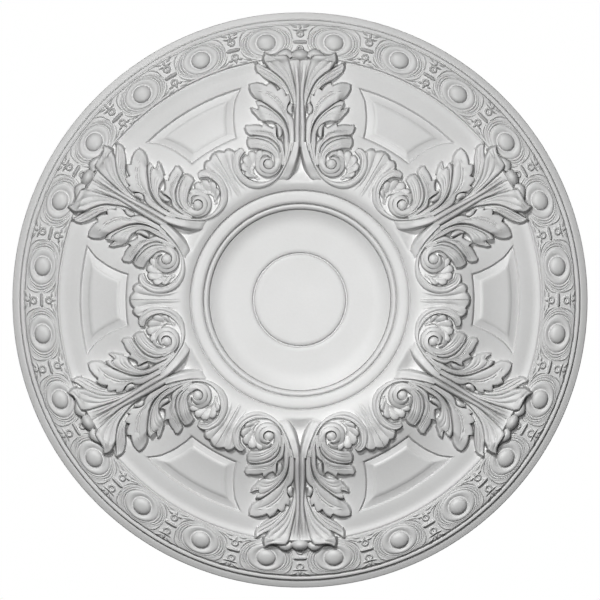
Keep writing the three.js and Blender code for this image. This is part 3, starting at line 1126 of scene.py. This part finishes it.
def carve_dart(shape):
    for place in (OUTER_FLOWER, INNER_FLOWER):
        carve_disc(shape, place, FLOWER_TOP, FLOWER_RINGS, FLOWER_SIDES)
    for line in MIDDLE_LINES:
        tendril(shape, *line)
    for line in SIDE_LINES:
        tendril(shape, *line, side=-1)
        tendril(shape, *line)


darts = bmesh.new()
carve_dart(darts)
turn_copies(darts, EGGS)
finish_piece(darts, "darts")

# %% [markdown]
# ## The floor
#
# The rose hangs from a ceiling, so a plain pale floor lies far below it, behind the camera, and
# throws no light back at it.

# %% Floor
FLOOR_DROP = 9.5
FLOOR_HALF = 40
FLOOR_COLOUR = (0.8, 0.8, 0.8, 1)
FLOOR_ROUGHNESS = 0.9
floor_mesh = bpy.data.meshes.new("studio_floor")
floor_shape = bmesh.new()
bmesh.ops.create_grid(floor_shape, x_segments=1, y_segments=1, size=FLOOR_HALF)
bmesh.ops.translate(floor_shape, vec=(0, 0, -FLOOR_DROP), verts=floor_shape.verts)
floor_shape.to_mesh(floor_mesh)
studio_floor = bpy.data.objects.new("studio_floor", floor_mesh)
bpy.context.scene.collection.objects.link(studio_floor)
floor_paint = bpy.data.materials.new("pale_floor")
floor_shader = Nodes(floor_paint).start("Principled BSDF")
floor_shader["Base Color"].default_value = FLOOR_COLOUR
floor_shader["Roughness"].default_value = FLOOR_ROUGHNESS
floor_mesh.materials.append(floor_paint)
studio_floor.visible_diffuse = False
studio_floor.visible_glossy = False
studio_floor.visible_shadow = False
print("the floor lies", FLOOR_DROP, "m below the ceiling")

# %% [markdown]
# ## The lamps
#
# The key lamp shines from the upper left of the picture, about 30 degrees off the line of sight,
# so every edge throws a small shadow. A small disc straight below keeps the hollows open.

# %% Lamps
KEY_PLACE = (0.67, 1.67, -2.9)
KEY_POWER = 1.8
KEY_SOFTNESS = math.radians(7)
FRONT_PLACE = (0, 0, -1.8)
FRONT_POWER = 15
FRONT_SIZE = 0.35


def aimed_lamp(name, kind, place, power):
    """A lamp of a kind at a place, turned to the rose; a sun only takes its direction from there."""
    lamp = bpy.data.lights.new(name, kind)
    lamp.energy = power
    holder = bpy.data.objects.new(name, lamp)
    holder.location = place
    holder.rotation_euler = (-Vector(place)).to_track_quat("-Z", "Y").to_euler()
    holder.visible_camera = False
    bpy.context.scene.collection.objects.link(holder)
    return lamp


key = aimed_lamp("key", "SUN", KEY_PLACE, KEY_POWER)
key.angle = KEY_SOFTNESS
front = aimed_lamp("front", "AREA", FRONT_PLACE, FRONT_POWER)
front.shape = "DISK"
front.size = FRONT_SIZE
off_axis = math.degrees(Vector(KEY_PLACE).angle(Vector(FRONT_PLACE)))
print("the key lamp is", round(off_axis), "degrees off the line of sight")

# %% [markdown]
# ## The studio round it
#
# The camera sees plain white all round. The light itself is dim from below, where it would
# flatten the carving, and bright from above, so that the back is also well lit.

# %% Surroundings
LIGHT_BELOW = 0.12
LIGHT_ABOVE = 0.75
BRIGHT_FROM = 0.4
GAMMA = 0.55


def studio_world():
    """White where the camera sees it, and for the light itself bright above and dim below."""
    world = bpy.data.worlds.new("studio")
    nodes = Nodes(world)
    place = nodes.add("ShaderNodeTexCoord", {}, {}, "Generated")
    upwards = nodes.add("ShaderNodeSeparateXYZ", {}, {"Vector": place}, "Z")
    span = {"From Min": 0.0, "From Max": BRIGHT_FROM, "To Min": LIGHT_BELOW, "To Max": LIGHT_ABOVE}
    light = nodes.add("ShaderNodeMapRange", {}, {"Value": upwards, **span}, "Result")
    seen = nodes.add("ShaderNodeLightPath", {}, {}, "Is Camera Ray")
    strength = nodes.add("ShaderNodeMix", {}, {"Factor": seen, "A": light, "B": 1.0}, "Result")
    background = nodes.start("Background")
    nodes.feed(background["Strength"], strength)
    nodes.feed(background["Color"], (1, 1, 1, 1))
    return world


bpy.context.scene.world = studio_world()
bpy.context.scene.view_settings.view_transform = "Standard"
bpy.context.scene.view_settings.gamma = GAMMA
print("light from below", LIGHT_BELOW, "and from above", LIGHT_ABOVE)

# %% [markdown]
# ## The camera
#
# The camera looks straight up, as the photograph does. A long lens far away shows hardly any of
# the walls. FILL is the share of the picture's width that the rose takes up.

# %% Camera
LENS = 250
FILL = 0.9568
SENSOR = 36
camera_data = bpy.data.cameras.new("camera")
camera_data.lens = LENS
camera_data.sensor_width = SENSOR
camera = bpy.data.objects.new("camera", camera_data)
distance = ROSE_RADIUS * 2 * LENS / (SENSOR * FILL)
camera.location = (0, 0, -distance)
camera.rotation_euler = (math.pi, 0, math.pi)
bpy.context.scene.collection.objects.link(camera)
bpy.context.scene.camera = camera
print("camera is", round(distance, 2), "m below the ceiling")
